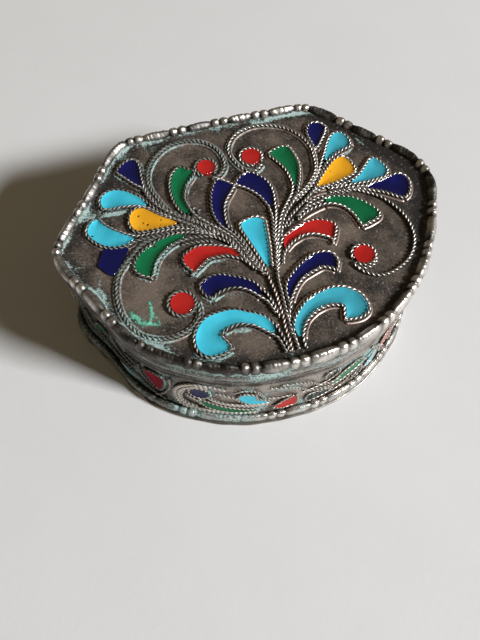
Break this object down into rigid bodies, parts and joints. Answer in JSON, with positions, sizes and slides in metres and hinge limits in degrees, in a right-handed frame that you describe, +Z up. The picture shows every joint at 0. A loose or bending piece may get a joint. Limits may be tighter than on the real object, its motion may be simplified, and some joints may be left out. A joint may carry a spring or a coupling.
{
  "type": "enamelled trinket box",
  "caption": "Small silver box with a straight back and bowed front, a lift-off lid, beaded borders and leaf scrolls of coloured enamel between upright twisted wires.",
  "frame": {"origin": "middle of the underside's bounding box, on the surface it stands on", "axes": "+X along the longest side, to the right seen from the bowed front; +Y towards the straight back edge; +Z up"},
  "size_m": [0.0666, 0.051, 0.0239],
  "materials": {
    "silver": "old silver, bright on the beads' tops, dark in the grooves",
    "dark_silver": "silver gone dark grey-brown, with green corrosion in the corners",
    "enamel_turquoise": "glossy glass enamel, slightly domed",
    "enamel_blue": "glossy glass enamel, slightly domed",
    "enamel_green": "glossy glass enamel, slightly domed",
    "enamel_red": "glossy glass enamel, slightly domed",
    "enamel_yellow": "glossy glass enamel, slightly domed",
    "enamel_grey": "glossy glass enamel, slightly domed",
    "enamel_black": "glossy glass enamel, slightly domed"
  },
  "bodies": {
    "root": {"base_plate": "silver", "centre_turquoise_leaf": "enamel_turquoise", "foot_border": "silver", "left_corner_blue_leaf": "enamel_blue", "left_curl_turquoise_leaf": "enamel_turquoise", "left_inner_blue_leaf": "enamel_blue", "left_inner_green_leaf": "enamel_green", "left_inner_red_dot": "enamel_red", "left_inner_scroll": "silver", "left_low_blue_leaf": "enamel_blue", "left_low_red_leaf": "enamel_red", "left_outer_green_leaf": "enamel_green", "left_outer_red_dot": "enamel_red", "left_outer_scroll": "silver", "left_side_blue_leaf": "enamel_blue", "left_side_turquoise_leaf": "enamel_turquoise", "left_upper_turquoise_leaf": "enamel_turquoise", "left_yellow_leaf": "enamel_yellow", "lid_border": "silver", "lid_plate": "dark_silver", "lid_skirt": "silver", "right_corner_blue_leaf": "enamel_blue", "right_curl_turquoise_leaf": "enamel_turquoise", "right_inner_blue_leaf": "enamel_blue", "right_inner_green_leaf": "enamel_green", "right_inner_red_dot": "enamel_red", "right_inner_scroll": "silver", "right_low_blue_leaf": "enamel_blue", "right_low_red_leaf": "enamel_red", "right_outer_green_leaf": "enamel_green", "right_outer_red_dot": "enamel_red", "right_outer_scroll": "silver", "right_side_blue_leaf": "enamel_blue", "right_side_turquoise_leaf": "enamel_turquoise", "right_upper_turquoise_leaf": "enamel_turquoise", "right_yellow_leaf": "enamel_yellow", "wall_01_green_leaf": "enamel_green", "wall_02_grey_leaf": "enamel_grey", "wall_03_red_leaf": "enamel_red", "wall_04_green_leaf": "enamel_green", "wall_05_red_leaf": "enamel_red", "wall_06_black_leaf": "enamel_black", "wall_07_green_leaf": "enamel_green", "wall_08_black_leaf": "enamel_black", "wall_09_turquoise_leaf": "enamel_turquoise", "wall_10_red_leaf": "enamel_red", "wall_back_1_blue_leaf": "enamel_blue", "wall_back_2_green_leaf": "enamel_green", "wall_back_3_turquoise_leaf": "enamel_turquoise", "wall_back_4_red_leaf": "enamel_red", "wall_back_5_red_leaf": "enamel_red", "wall_back_6_turquoise_leaf": "enamel_turquoise", "wall_back_7_green_leaf": "enamel_green", "wall_back_8_blue_leaf": "enamel_blue", "wall_band": "dark_silver", "wall_blue_oval": "enamel_blue", "wall_turquoise_curl": "enamel_turquoise"}
  },
  "joints": []
}
